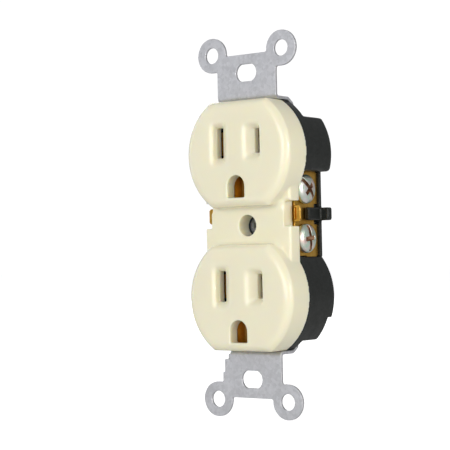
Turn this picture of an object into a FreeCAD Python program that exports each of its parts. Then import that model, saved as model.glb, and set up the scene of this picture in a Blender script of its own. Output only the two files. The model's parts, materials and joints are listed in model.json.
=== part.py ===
import FreeCAD, Part

import math
import os

import Sketcher

# Duplex wall outlet, in millimetres. +X is to the right and -Y to the front, as
# someone facing the wall sees it, and +Z is up. The origin lies midway between the
# two mounting holes, on the front surface of the steel strap.

SIZES = [
    # overall arrangement
    ("outlet_spacing", 38.9, "between the centres of the two outlets"),
    ("face_radius", 17.05, "radius of each outlet's face"),
    ("face_flat", 14.3, "outlet centre to the flat above and below it"),
    ("face_front", 5.85, "face in front of the strap"),
    ("joint_plane", 3.4, "cover meets base this far behind the strap's front"),
    ("base_rear", 16.0, "back of the base"),
    ("cover_wall", 1.6, "wall of the cover"),
    ("face_round", 2.2, "rounding of the face's edge"),
    # plug openings
    ("funnel_depth", 2.0, "depth of the lead-in round each slot"),
    ("funnel_outside", 0.5, "lead-in beyond a slot's outer side"),
    ("funnel_middle", 2.6, "flat face left between the lead-ins, from the centreline"),
    ("funnel_above", 1.4, "lead-in above a slot"),
    ("funnel_below", 2.0, "lead-in below a slot"),
    ("funnel_edge", 0.1, "foot of a lead-in beyond the slot's edge"),
    ("face_wall", 1.65, "face behind the lead-ins"),
    ("slot_side", 6.35, "slot centre to the centreline"),
    ("collar_depth", 0.4, "collar round each slot inside the cover"),
    ("slot_rise", 3.1, "slot centre above the outlet's centre"),
    ("slot_width", 2.1, "width of both blade slots"),
    ("hot_slot_height", 6.6, "height of the hot slot"),
    ("neutral_slot_height", 8.3, "height of the neutral slot"),
    ("ground_drop", 8.8, "ground hole below the outlet's centre"),
    ("ground_hole_radius", 2.85, "round top of the ground hole"),
    ("ground_hole_foot", 3.2, "ground hole centre to its flat foot"),
    # bridge between the outlets
    ("bridge_front", 0.8, "bridge in front of the strap"),
    ("bridge_side", 14.2, "half width of the bridge"),
    ("bridge_round", 0.6, "rounding of the bridge's upright edges"),
    ("notch_side", 12.0, "half width between the side notches"),
    ("notch_height", 6.8, "height of the side notches"),
    ("centre_hole_radius", 2.9, "hole for the wall plate's screw"),
    ("centre_boss_end", 4.1, "rear end of the cover's boss round that hole"),
    # base
    ("flange_rear", 6.8, "back of the base's flange"),
    ("base_wall", 1.6, "wall of the base"),
    ("base_round", 0.8, "rounding of the base's rear edges"),
    ("base_corner", 1.2, "rounding of the base's corners"),
    ("recess_height", 23.1, "height of the terminal recess"),
    ("block_rise", 9.85, "top of the upper block above its outlet's centre"),
    ("block_drop", 11.95, "foot of the lower block below its outlet's centre"),
    ("step_drop", 5.85, "step of the lower block below its outlet's centre"),
    ("step_rear", 13.7, "back of the lower block below the step"),
    ("core_side", 11.4, "half width of the base between the terminals"),
    ("bar_side", 13.2, "half width of the wall behind the terminals"),
    ("bar_thickness", 1.0, "wall behind the terminals"),
    ("barrier_front", 8.4, "front of the barrier between two screws"),
    ("barrier_side", 14.0, "outer face of the barrier"),
    ("barrier_height", 3.5, "height of the barrier"),
    ("lip_side", 16.5, "outer end of the barrier's lip"),
    ("lip_thickness", 1.9, "lip of the barrier"),
    ("well_margin", 0.4, "well above and below the foot of a contact"),
    ("tail_margin", 0.2, "room above a ground contact's tail"),
    ("slant_lead", 0.5, "start of the cut-away before a leg's slant"),
    # steel strap
    ("strap_thickness", 0.85, "sheet of the strap"),
    ("mounting_spacing", 83.3, "between the two mounting holes"),
    ("plate_side", 9.75, "half width of the strap's plates"),
    ("plate_margin", 5.05, "mounting hole to the plate's outer edge"),
    ("hole_width", 6.8, "width of a mounting hole"),
    ("hole_height", 4.7, "height of a mounting hole"),
    ("hole_end_radius", 2.5, "rounded ends of a mounting hole"),
    ("ear_side", 11.6, "ear centre to the centreline"),
    ("ear_rise", 5.68, "ear centre beyond the mounting hole"),
    ("ear_radius", 4.8, "radius of an ear"),
    ("ear_hole_radius", 2.2, "hole in an ear"),
    ("ear_corner", 0.55, "inside corner between an ear and the plate"),
    ("leg_gap", 0.15, "gap between the strap's legs and the flats"),
    ("leg_run", 6.0, "length of a leg before it slants inwards"),
    ("leg_slant", 32.0, "slant of a leg's end, in degrees"),
    ("bend_radius", 0.5, "inside radius of the strap's bends"),
    ("strip_rear", 8.5, "back of the strip that joins the two legs"),
    ("strip_side", 3.2, "half width of the strip"),
    ("pad_side", 4.7, "half width of the strip at a ground contact"),
    ("pad_half", 4.1, "half height of the strip's pad at a ground contact"),
    ("pin_hole_radius", 2.95, "hole in the strap for a plug's ground pin"),
    ("tab_height", 4.8, "height of the ground terminal's tab"),
    ("tab_root_height", 3.5, "height of the tab's root at the plate's edge"),
    ("tab_root_reach", 2.6, "end of the root behind the strap's front"),
    ("tab_reach", 12.4, "end of the tab behind the strap's front"),
    ("tab_relief", 2.4, "relief between the tab and the leg's bend"),
    ("tab_drop", 0.58, "tab's foot below the top of the mounting hole"),
    ("tab_screw_inset", 4.2, "ground screw to the tab's end"),
    ("weld_run", 0.5, "how far joined parts of the strap run into each other"),
    # terminals
    ("terminal_rise", 2.9, "middle of the terminals above the middle of the outlet"),
    ("screw_spacing", 13.35, "between the two screws of one side"),
    ("screw_behind", 8.0, "screw axis behind the strap's front"),
    ("screw_head_radius", 3.95, "head of a terminal screw"),
    ("screw_head_height", 2.2, "head of a terminal screw"),
    ("screw_radius", 2.0, "shank of a terminal screw"),
    ("screw_length", 6.4, "shank of a terminal screw"),
    ("screw_gap", 0.25, "head above the brass as delivered"),
    ("ground_screw_radius", 1.75, "shank of the ground screw"),
    ("ground_screw_length", 6.0, "shank of the ground screw"),
    ("ground_washer_radius", 3.1, "flange under the ground screw's head"),
    ("ground_head_radius", 2.5, "head of the ground screw"),
    ("ground_head_height", 2.4, "head of the ground screw with its flange"),
    ("bus_side", 12.4, "outer face of the terminal plates"),
    ("brass_thickness", 0.8, "sheet of the bus bars"),
    ("bus_front", 3.9, "front edge of the terminal plates"),
    ("bus_middle_rear", 13.3, "rear edge of a terminal plate at its middle"),
    ("bus_back_gap", 0.1, "terminal plate in front of the wall behind it"),
    ("neck_margin", 1.0, "narrow part of a terminal plate beyond the barrier"),
    ("fin_front", 2.3, "front of the break-off fin"),
    ("fin_side", 15.3, "outer edge of the break-off fin"),
    ("fin_height", 4.3, "height of the break-off fin"),
    ("fin_root", 1.4, "root of the fin outside the notch"),
    ("fin_ramp", 1.6, "ramp from a terminal plate to its fin"),
    ("fin_heel", 0.5, "back of the fin's root outside its front"),
    ("fin_web", 0.5, "brass left beside the break line"),
    ("break_line_gap", 0.1, "break line outside the fin's root"),
    ("break_line", 0.5, "width of the break line"),
    ("arm_width", 5.0, "arm from a terminal plate to a contact"),
    # spring contacts
    ("leaf_thickness", 0.5, "sheet of the spring contacts"),
    ("contact_height", 6.4, "height of a blade contact"),
    ("contact_side", 1.5, "half width of a blade contact at its root"),
    ("contact_throat", 0.5, "half gap between the leaves at the throat"),
    ("contact_mouth", 1.2, "half gap between the leaves at the mouth"),
    ("contact_front", 0.9, "mouth of a contact in front of the strap's front"),
    ("contact_throat_behind", 1.2, "throat of a contact behind the strap's front"),
    ("contact_straight", 4.6, "straight part of a leaf above its root"),
    ("clip_rivet_radius", 0.6, "shank of a blade contact's rivet"),
    ("clip_rivet_head", 0.95, "head of a blade contact's rivet"),
    ("ground_leaf_height", 6.6, "height of a ground contact's leaves"),
    ("ground_leaf_side", 2.4, "half gap between a ground contact's leaves"),
    ("ground_throat", 2.1, "half gap at a ground contact's throat"),
    ("ground_mouth", 2.9, "half gap at a ground contact's mouth"),
    ("ground_mouth_front", 2.0, "mouth of a ground contact before the strap's front"),
    ("ground_foot_side", 3.7, "half width of a ground contact's foot"),
    ("tail_side", 2.6, "half width of a ground contact's tail"),
    ("tail_rise", 4.8, "rivet above a ground contact's centre"),
    ("foot_margin", 0.6, "foot beyond a ground contact's leaves"),
    ("tail_end", 1.6, "tail beyond its rivet"),
    ("rivet_radius", 0.9, "shank of a ground contact's rivet"),
    ("rivet_head_radius", 1.5, "head of a ground contact's rivet"),
    ("rivet_head_height", 0.5, "head of every rivet"),
    # centre eyelet and assembly screws
    ("eyelet_radius", 2.6, "outside of the threaded eyelet"),
    ("eyelet_bore", 1.75, "threaded bore for a number 6-32 screw"),
    ("eyelet_front", 4.2, "front end of the eyelet"),
    ("eyelet_flange_thickness", 0.6, "flange of the eyelet"),
    ("eyelet_rear", 11.0, "rear end of the eyelet"),
    ("eyelet_flange", 3.05, "flange of the eyelet behind the strap"),
    ("assembly_radius", 1.1, "shank of an assembly screw"),
    ("assembly_length", 8.2, "shank of an assembly screw"),
    ("assembly_head_radius", 2.2, "head of an assembly screw"),
    ("assembly_head_height", 1.4, "head of an assembly screw"),
    ("boss_radius", 2.4, "boss in the cover for an assembly screw"),
    # clearances
    ("running_fit", 0.06, "screw or rivet shank in its hole"),
    ("pocket_gap", 0.15, "metal part in its pocket"),
]

doc = FreeCAD.newDocument("duplex_outlet")
sheet = doc.addObject("Spreadsheet::Sheet", "sizes")
for row, (alias, number, note) in enumerate(SIZES, start=1):
    sheet.set(f"A{row}", note)
    sheet.set(f"B{row}", str(number))
    sheet.setAlias(f"B{row}", alias)
doc.recompute()


class Size:
    """A length that knows its expression in the sheet as well as its number."""

    def __init__(self, text, number):
        self.text = text
        self.number = number

    @staticmethod
    def of(other):
        return other if isinstance(other, Size) else Size(repr(float(other)), other)

    def joined(self, sign, other, number):
        return Size(f"({self.text} {sign} {other.text})", number)

    def __add__(self, other):
        other = Size.of(other)
        return self.joined("+", other, self.number + other.number)

    def __sub__(self, other):
        other = Size.of(other)
        return self.joined("-", other, self.number - other.number)

    def __mul__(self, other):
        other = Size.of(other)
        return self.joined("*", other, self.number * other.number)

    def __truediv__(self, other):
        other = Size.of(other)
        return self.joined("/", other, self.number / other.number)

    def __radd__(self, other):
        return Size.of(other) + self

    def __rsub__(self, other):
        return Size.of(other) - self

    def __rmul__(self, other):
        return Size.of(other) * self

    def __neg__(self):
        return self * -1.0


class Table:
    """The sheet's cells by name, each as a Size."""


sizes = Table()
for alias, number, note in SIZES:
    setattr(sizes, alias, Size(f"sizes.{alias}", number))


def tangent(degrees):
    return Size(f"tan({degrees.text} * 1 deg)", math.tan(math.radians(degrees.number)))


def bind(feature, name, size):
    feature.setExpression(name, Size.of(size).text)


# ---- Part primitives, each bound to the sheet ----

def block(name, across, back, up):
    """A box between two places on X, on Y and on Z."""
    box = doc.addObject("Part::Box", name)
    for side, axis, (low, high) in zip(("Length", "Width", "Height"), "xyz",
                                       (across, back, up)):
        bind(box, side, Size.of(high) - low)
        bind(box, f"Placement.Base.{axis}", low)
    return box


def rod(name, radius, x, back, z):
    """A cylinder along Y between two places."""
    low, high = back
    cylinder = doc.addObject("Part::Cylinder", name)
    cylinder.Placement.Rotation = FreeCAD.Rotation(FreeCAD.Vector(1, 0, 0), -90)
    bind(cylinder, "Radius", radius)
    bind(cylinder, "Height", Size.of(high) - low)
    for axis, place in zip("xyz", (x, low, z)):
        bind(cylinder, f"Placement.Base.{axis}", place)
    return cylinder


def cross_rod(name, radius, across, y, z):
    """A cylinder along X between two places."""
    low, high = across
    cylinder = doc.addObject("Part::Cylinder", name)
    cylinder.Placement.Rotation = FreeCAD.Rotation(FreeCAD.Vector(0, 1, 0), 90)
    bind(cylinder, "Radius", radius)
    bind(cylinder, "Height", Size.of(high) - low)
    for axis, place in zip("xyz", (low, y, z)):
        bind(cylinder, f"Placement.Base.{axis}", place)
    return cylinder


def union(name, *pieces):
    joined = doc.addObject("Part::MultiFuse", name)
    joined.Shapes = list(pieces)
    joined.Refine = True
    return joined


def overlap(name, *pieces):
    common = doc.addObject("Part::MultiCommon", name)
    common.Shapes = list(pieces)
    return common


def cut(name, base, *tools):
    tool = tools[0] if len(tools) == 1 else union(name + "_tools", *tools)
    result = doc.addObject("Part::Cut", name)
    result.Base = base
    result.Tool = tool
    result.Refine = True
    return result


def rounded(name, base, radius, wanted):
    """A fillet on every edge of the base that the test picks."""
    doc.recompute()
    picked = [index for index, edge in enumerate(base.Shape.Edges, start=1)
              if wanted(edge)]
    fillet = doc.addObject("Part::Fillet", name)
    fillet.Base = base
    fillet.Edges = [(index, radius.number, radius.number) for index in picked]
    return fillet


def middle(edge):
    return edge.CenterOfMass


def near(first, second):
    return abs(first - second) < 0.01


def lies_at(y):
    """Test for an edge that lies wholly in the plane at y."""
    def test(edge):
        return all(near(vertex.Y, y.number) for vertex in edge.Vertexes)
    return test


def runs_along(axis):
    """Test for a straight edge along one axis."""
    direction = FreeCAD.Vector(*axis)

    def test(edge):
        if edge.Curve.TypeId != "Part::GeomLine":
            return False
        return near(abs(edge.tangentAt(edge.FirstParameter).dot(direction)), 1)
    return test


# ---- PartDesign bodies drawn in sketches ----

def new_body(label):
    return doc.addObject("PartDesign::Body", label)


def add_sketch(body, plane, offset, name):
    sketch = body.newObject("Sketcher::SketchObject", name)
    origin_plane = [item for item in body.Origin.OriginFeatures if item.Role == plane][0]
    sketch.AttachmentSupport = [(origin_plane, "")]
    sketch.MapMode = "FlatFace"
    bind(sketch, "AttachmentOffset.Base.z", offset)
    return sketch


def draw_polygon(sketch, corners):
    """A closed outline whose corners are all placed from the sheet."""
    corners = [(Size.of(x), Size.of(y)) for x, y in corners]
    points = [FreeCAD.Vector(x.number, y.number, 0) for x, y in corners]
    first = sketch.GeometryCount
    count = len(points)
    for index in range(count):
        line = Part.LineSegment(points[index], points[(index + 1) % count])
        sketch.addGeometry(line, False)
    for index in range(count):
        after = (index + 1) % count
        sketch.addConstraint(
            Sketcher.Constraint("Coincident", first + index, 2, first + after, 1))
    for index, corner in enumerate(corners):
        for kind, size in zip(("DistanceX", "DistanceY"), corner):
            place = sketch.addConstraint(
                Sketcher.Constraint(kind, -1, 1, first + index, 1, size.number))
            bind(sketch, f"Constraints[{place}]", size)


def draw_circle(sketch, x, y, radius):
    """A circle placed from the sheet."""
    x, y, radius = Size.of(x), Size.of(y), Size.of(radius)
    ring = Part.Circle(FreeCAD.Vector(x.number, y.number, 0),
                       FreeCAD.Vector(0, 0, 1), radius.number)
    index = sketch.addGeometry(ring, False)
    for kind, size in (("DistanceX", x), ("DistanceY", y)):
        place = sketch.addConstraint(
            Sketcher.Constraint(kind, -1, 1, index, 3, size.number))
        bind(sketch, f"Constraints[{place}]", size)
    place = sketch.addConstraint(Sketcher.Constraint("Radius", index, radius.number))
    bind(sketch, f"Constraints[{place}]", radius)


def pad(body, sketch, length, name):
    feature = body.newObject("PartDesign::Pad", name)
    feature.Profile = sketch
    bind(feature, "Length", length)
    body.Tip = feature
    return feature


def pocket(body, sketch, length, name, reverse=False):
    """A pocket that is checked to have removed something."""
    doc.recompute()
    before = body.Shape.Volume
    feature = body.newObject("PartDesign::Pocket", name)
    feature.Profile = sketch
    feature.Reversed = reverse
    bind(feature, "Length", length)
    body.Tip = feature
    doc.recompute()
    if body.Shape.Volume > before - 1e-6:
        raise RuntimeError(f"{body.Label}: pocket {name} cuts nothing")
    return feature


def fillet_edges(body, picked, radius, name):
    base = body.Tip
    fillet = body.newObject("PartDesign::Fillet", name)
    fillet.Base = (base, picked)
    bind(fillet, "Radius", radius)
    body.Tip = fillet


def revolve(body, sketch, name):
    feature = body.newObject("PartDesign::Revolution", name)
    feature.Profile = sketch
    axis = [item for item in body.Origin.OriginFeatures if item.Role == "Z_Axis"][0]
    feature.ReferenceAxis = (axis, [""])
    feature.Angle = 360
    body.Tip = feature
    return feature


def turned(label, outline):
    """A turned body from half its section, given as (radius, height) corners."""
    body = new_body(label)
    sketch = add_sketch(body, "XZ_Plane", 0, label + "_section")
    draw_polygon(sketch, outline)
    revolve(body, sketch, label + "_turned")
    return body


def set_place(feature, x, y, z, rotation=None):
    if rotation is not None:
        feature.Placement.Rotation = rotation
    for axis, place in zip("xyz", (x, y, z)):
        bind(feature, f"Placement.Base.{axis}", place)


TO_RIGHT = FreeCAD.Rotation(FreeCAD.Vector(0, 1, 0), 90)
TO_LEFT = FreeCAD.Rotation(FreeCAD.Vector(0, 1, 0), -90)
TO_FRONT = FreeCAD.Rotation(FreeCAD.Vector(1, 0, 0), 90)

# ---- places that several pieces share ----

OUTLETS = {"upper": sizes.outlet_spacing / 2, "lower": -sizes.outlet_spacing / 2}
SIDES = {"hot": 1, "neutral": -1}
cavity_front = sizes.funnel_depth + sizes.face_wall - sizes.face_front
recess_foot = sizes.terminal_rise - sizes.recess_height / 2
recess_top = sizes.terminal_rise + sizes.recess_height / 2
strip_front = sizes.strip_rear - sizes.strap_thickness
channel_floor = strip_front - sizes.pocket_gap
foot_rear = sizes.base_rear - sizes.base_wall
foot_front = foot_rear - sizes.brass_thickness
bus_rear = sizes.base_rear - sizes.bar_thickness - sizes.bus_back_gap
bus_inner = sizes.bus_side - sizes.brass_thickness
flat_z = sizes.outlet_spacing / 2 + sizes.face_flat
leg_inner = flat_z + sizes.leg_gap
leg_outer = leg_inner + sizes.strap_thickness
strip_end = leg_outer - (sizes.strip_rear - sizes.leg_run) * tangent(sizes.leg_slant)
slant_start = sizes.leg_run - sizes.strap_thickness * tangent(sizes.leg_slant / 2)
hole_z = sizes.mounting_spacing / 2
well_side = sizes.slot_side - sizes.contact_side - sizes.pocket_gap
screw_heights = {"upper": sizes.terminal_rise + sizes.screw_spacing / 2,
                 "lower": sizes.terminal_rise - sizes.screw_spacing / 2}


def slot_height(side):
    return sizes.hot_slot_height if side == "hot" else sizes.neutral_slot_height


def spread(low, high, sign):
    """The pair of places on one side of the centreline, lowest first."""
    return (low, high) if sign > 0 else (-Size.of(high), -Size.of(low))


def outlet_disc(name, radius, flat, back, z):
    """A disc with a flat above and below it, as each outlet's outline."""
    disc = rod(name + "_disc", radius, 0, back, z)
    band = block(name + "_band", (-radius, radius), back, (z - flat, z + flat))
    return overlap(name, disc, band)


# ---- face cover ----

def make_face_cover():
    front = -sizes.face_front
    rear = sizes.joint_plane
    faces = []
    cuts = []
    inside = []
    for name, z in OUTLETS.items():
        face = outlet_disc(f"{name}_face", sizes.face_radius, sizes.face_flat,
                           (front, rear), z)
        faces.append(rounded(f"{name}_face_round", face, sizes.face_round, lies_at(front)))
        cuts.append(outlet_disc(f"{name}_cavity", sizes.face_radius - sizes.cover_wall,
                                sizes.face_flat - sizes.cover_wall,
                                (cavity_front, rear), z))
        slot_z = z + sizes.slot_rise
        inside.append(rod(f"{name}_boss", sizes.boss_radius, 0, (cavity_front, rear), slot_z))
        for side, sign in SIDES.items():
            centre = sizes.slot_side * sign
            reach = (sizes.slot_width + sizes.cover_wall) / 2
            high = (slot_height(side) + sizes.cover_wall) / 2
            inside.append(block(f"{name}_{side}_collar", (centre - reach, centre + reach),
                                (cavity_front, cavity_front + sizes.collar_depth),
                                (slot_z - high, slot_z + high)))
        rib_z = z - sizes.ground_drop / 2
        rib_side = sizes.face_radius - 2 * sizes.cover_wall
        inside.append(block(f"{name}_rib", (-rib_side, rib_side), (cavity_front, rear),
                            (rib_z - sizes.cover_wall / 4, rib_z + sizes.cover_wall / 4)))
    low_z = OUTLETS["lower"] + sizes.face_flat / 2
    high_z = OUTLETS["upper"] - sizes.face_flat / 2
    bridge = block("bridge", (-sizes.bridge_side, sizes.bridge_side),
                   (-sizes.bridge_front, rear), (low_z, high_z))

    def upright_front(edge):
        return runs_along((0, 0, 1))(edge) and near(middle(edge).y, -sizes.bridge_front.number)

    faces.append(rounded("bridge_round", bridge, sizes.bridge_round, upright_front))
    bridge_inner = sizes.notch_side - sizes.cover_wall
    bridge_half = OUTLETS["upper"] - sizes.face_flat
    bridge_back = sizes.cover_wall - sizes.bridge_front
    cuts.append(block("bridge_cavity", (-bridge_inner, bridge_inner),
                      (bridge_back, rear), (-bridge_half, bridge_half)))
    shell = cut("cover_shell", union("cover_outside", *faces), *cuts)
    inside.append(rod("centre_boss", sizes.centre_hole_radius + sizes.cover_wall, 0,
                      (bridge_back, sizes.centre_boss_end), 0))
    solid = union("cover_with_bosses", shell, *inside)

    openings = [rod("centre_hole", sizes.centre_hole_radius, 0,
                    (-sizes.bridge_front - 1, sizes.centre_boss_end + 1), 0)]
    notch_z = (sizes.terminal_rise - sizes.notch_height / 2,
               sizes.terminal_rise + sizes.notch_height / 2)
    for side, sign in SIDES.items():
        openings.append(block(f"{side}_notch",
                              spread(sizes.notch_side, sizes.bridge_side + 1, sign),
                              (-sizes.bridge_front - 1, rear + 1), notch_z))
    for name, z in OUTLETS.items():
        slot_z = z + sizes.slot_rise
        for side, sign in SIDES.items():
            half = slot_height(side) / 2
            centre = sizes.slot_side * sign
            openings.append(block(f"{name}_{side}_slot",
                                  (centre - sizes.slot_width / 2, centre + sizes.slot_width / 2),
                                  (front - 1, cavity_front + 1),
                                  (slot_z - half, slot_z + half)))
            openings.append(make_funnel(f"{name}_{side}_funnel", centre, sign, slot_z, half))
        openings.append(ground_hole(f"{name}_ground_hole", z - sizes.ground_drop,
                                    (front - 1, cavity_front + 1)))
        openings.append(rod(f"{name}_pilot", sizes.assembly_radius + sizes.running_fit / 2, 0,
                            (cavity_front, rear + 1), slot_z))
    return cut("face_cover", solid, *openings)


def make_funnel(name, centre, sign, slot_z, half):
    """The lead-in round a slot: steep outside, gentle towards the centreline."""
    outer = sizes.slot_width / 2 + sizes.funnel_outside
    inner = sizes.slot_side - sizes.funnel_middle
    wide = (centre - inner, centre + outer) if sign > 0 else (centre - outer, centre + inner)
    edge = sizes.funnel_edge
    near_slot = sizes.slot_width / 2 + edge
    wedge = doc.addObject("Part::Wedge", name)
    places = {
        "Ymin": -sizes.face_front, "Ymax": sizes.funnel_depth - sizes.face_front,
        "Xmin": wide[0], "Xmax": wide[1],
        "Zmin": slot_z - half - sizes.funnel_below, "Zmax": slot_z + half + sizes.funnel_above,
        "X2min": centre - near_slot, "X2max": centre + near_slot,
        "Z2min": slot_z - half - edge, "Z2max": slot_z + half + edge,
    }
    for place, size in places.items():
        bind(wedge, place, size)
    return wedge


def ground_hole(name, z, back):
    """A round-topped hole with a flat foot."""
    radius = sizes.ground_hole_radius
    top = rod(name + "_top", radius, 0, back, z)
    legs = block(name + "_legs", (-radius, radius), back, (z - sizes.ground_hole_foot, z))
    return union(name, top, legs)


# ---- rear base ----

def make_rear_base():
    front = sizes.joint_plane
    rear = sizes.base_rear
    radius = sizes.face_radius
    solids = [block("base_core", (-sizes.core_side, sizes.core_side), (front, rear),
                    (recess_foot, recess_top)),
              block("terminal_wall", (-sizes.bar_side, sizes.bar_side),
                    (rear - sizes.bar_thickness, rear), (recess_foot, recess_top))]
    blocks = {"upper": (recess_top, OUTLETS["upper"] + sizes.block_rise),
              "lower": (OUTLETS["lower"] - sizes.block_drop, recess_foot)}
    recess = []
    for side, sign in SIDES.items():
        recess.append(block(f"{side}_recess", spread(sizes.core_side, radius + 1, sign),
                            (front - 1, rear + 1), (recess_foot, recess_top)))
    for name, z in OUTLETS.items():
        flange = outlet_disc(f"{name}_flange", radius, sizes.face_flat,
                             (front, sizes.flange_rear), z)
        solids.append(cut(f"{name}_flange_cut", flange, *recess))
        low, high = blocks[name]
        body = overlap(f"{name}_block", rod(f"{name}_block_disc", radius, 0, (front, rear), z),
                       block(f"{name}_block_band", (-radius, radius), (front, rear),
                             (low, high)))
        body = rounded(f"{name}_block_corners", body, sizes.base_corner,
                       runs_along((0, 1, 0)))
        body = rounded(f"{name}_block_round", body, sizes.base_round, lies_at(rear))
        if name == "lower":
            step = block("step", (-radius, radius), (sizes.step_rear, rear + 1),
                         (low - 1, z - sizes.step_drop))
            body = cut("lower_block_stepped", body, step)
        solids.append(body)
    solids.extend(make_barriers(rear))
    outside = union("base_outside", *solids)
    return cut("rear_base", outside, *base_pockets(front, rear))


def make_barriers(rear):
    """The ribs that keep the two wires of one side apart, each with a lip."""
    barriers = []
    half = sizes.barrier_height / 2
    up = (sizes.terminal_rise - half, sizes.terminal_rise + half)
    lip_front = rear - sizes.lip_thickness
    for side, sign in SIDES.items():
        across = spread(sizes.bus_side + sizes.pocket_gap, sizes.barrier_side, sign)
        rib = block(f"{side}_barrier", across, (sizes.barrier_front, rear), up)
        lip = block(f"{side}_lip", spread(sizes.bar_side - 1, sizes.lip_side, sign),
                    (lip_front, rear), up)
        foot = block(f"{side}_barrier_foot", spread(sizes.core_side - 1, sizes.bar_side, sign),
                     (sizes.bus_middle_rear + sizes.pocket_gap, rear), up)
        barriers.append(rounded(f"{side}_barrier_round", union(f"{side}_hook", rib, lip, foot),
                                sizes.base_round / 2, runs_along((0, 1, 0))))
    return barriers


def base_pockets(front, rear):
    """Everything that the base holds, each in a pocket with its own gap."""
    gap = sizes.pocket_gap
    pockets = [block("strap_channel", (-sizes.strip_side - gap, sizes.strip_side + gap),
                     (channel_floor, rear + 1), (-flat_z - 1, flat_z + 1)),
               rod("eyelet_bore_hole", sizes.eyelet_radius + sizes.running_fit, 0,
                   (front - 1, channel_floor + 1), 0),
               rod("centre_boss_room", sizes.centre_hole_radius + sizes.cover_wall + gap, 0,
                   (front - 1, sizes.centre_boss_end + sizes.running_fit), 0)]
    wall = sizes.base_wall
    for name, z in OUTLETS.items():
        slot_z = z + sizes.slot_rise
        ground_z = z - sizes.ground_drop
        half = sizes.contact_height / 2 + sizes.well_margin
        well_z = {"upper": (recess_top + wall, slot_z + half),
                  "lower": (slot_z - half, recess_foot - wall)}[name]
        slit_z = {"upper": (recess_top - 1, recess_top + wall + 1),
                  "lower": (recess_foot - wall - 1, recess_foot + 1)}[name]
        for side, sign in SIDES.items():
            tag = f"{name}_{side}"
            pockets.append(block(f"{tag}_well", spread(well_side, sizes.bus_side + gap, sign),
                                 (front - 1, foot_rear), well_z))
            pockets.append(block(f"{tag}_slit",
                                 spread(bus_inner - gap, sizes.bus_side + gap, sign),
                                 (front - 1, foot_rear), slit_z))
            pockets.append(rod(f"{tag}_rivet_room", sizes.clip_rivet_head + gap * 2,
                               sizes.slot_side * sign,
                               (foot_rear - 1, foot_rear + sizes.rivet_head_height + gap),
                               slot_z))
            tip = sizes.bus_side + sizes.screw_gap - sizes.screw_length
            pockets.append(cross_rod(f"{tag}_screw_room", sizes.screw_radius + 2 * gap,
                                     spread(tip - sizes.screw_gap - gap, sizes.core_side + 1,
                                            sign),
                                     sizes.screw_behind, screw_heights[name]))
        foot_side = sizes.ground_foot_side + gap
        tail_side = sizes.tail_side + gap
        through = (front - 1, channel_floor + 1)
        foot_half = sizes.ground_leaf_height / 2 + sizes.foot_margin + gap
        pockets.append(block(f"{name}_ground_room", (-foot_side, foot_side), through,
                             (ground_z - foot_half, ground_z + foot_half)))
        pockets.append(block(f"{name}_tail_room", (-tail_side, tail_side), through,
                             (ground_z, ground_z + sizes.tail_rise + sizes.tail_end
                              + sizes.tail_margin)))
        pad_side = sizes.pad_side + gap
        pad_half = sizes.pad_half + gap
        pockets.append(block(f"{name}_pad_room", (-pad_side, pad_side),
                             (channel_floor, rear + 1),
                             (ground_z - pad_half, ground_z + pad_half)))
        pockets.append(rod(f"{name}_assembly_hole", sizes.assembly_radius + sizes.running_fit,
                           0, through, slot_z))
    for sign in (1, -1):
        pockets.append(slant_relief(sign))
    return pockets


def slant_relief(sign):
    """The base's corner is cut away where a leg of the strap slants inwards."""
    name = "upper" if sign > 0 else "lower"
    body = new_body(f"{name}_slant_relief")
    half = sizes.plate_side + sizes.pocket_gap
    sketch = add_sketch(body, "YZ_Plane", -half, f"{name}_slant_line")
    start = slant_start - sizes.slant_lead
    end = sizes.strip_rear
    drop = (end - start) * tangent(sizes.leg_slant)
    draw_polygon(sketch, [(start, leg_inner * sign), (end, (leg_inner - drop) * sign),
                          (end, leg_outer * sign), (start, leg_outer * sign)])
    pad(body, sketch, half * 2, f"{name}_slant_solid")
    return body


# ---- steel strap ----

def strap_profile():
    """Half of the strap seen from the side, front surface first, then the back."""
    half_turn = tangent((90 - sizes.leg_slant) / 2)
    end = hole_z + sizes.ear_rise + sizes.ear_radius + 1
    front = [(0, end), (0, leg_inner), (slant_start, leg_inner),
             (strip_front, strip_end - sizes.strap_thickness * half_turn)]
    back = [(sizes.strap_thickness, end), (sizes.strap_thickness, leg_outer),
            (sizes.leg_run, leg_outer), (sizes.strip_rear, strip_end)]
    return front, back


def make_folded_strip():
    """The strap's sheet, bent but not yet cut to its outline."""
    body = new_body("folded_strip")
    reach = sizes.ear_side + sizes.ear_radius + 1
    sketch = add_sketch(body, "YZ_Plane", -reach, "strap_side_view")
    front, back = strap_profile()
    lower_front = [(y, -Size.of(z)) for y, z in reversed(front)]
    lower_back = [(y, -Size.of(z)) for y, z in back]
    draw_polygon(sketch, front + lower_front + lower_back + back[::-1])
    pad(body, sketch, reach * 2, "strap_sheet")
    convex = [front[1], back[2], back[3]]
    concave = [back[1], front[2], front[3]]
    round_bends(body, "outer_bends", convex, sizes.bend_radius + sizes.strap_thickness)
    round_bends(body, "inner_bends", concave, sizes.bend_radius)
    return body


def round_bends(body, name, corners, radius):
    """A fillet on the edges along X that pass through the given side-view corners."""
    doc.recompute()
    picked = []
    for index, edge in enumerate(body.Tip.Shape.Edges, start=1):
        if not runs_along((1, 0, 0))(edge):
            continue
        point = middle(edge)
        for y, z in corners:
            if near(point.y, Size.of(y).number) and near(abs(point.z), z.number):
                picked.append(f"Edge{index}")
    fillet_edges(body, picked, radius, name)


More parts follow.
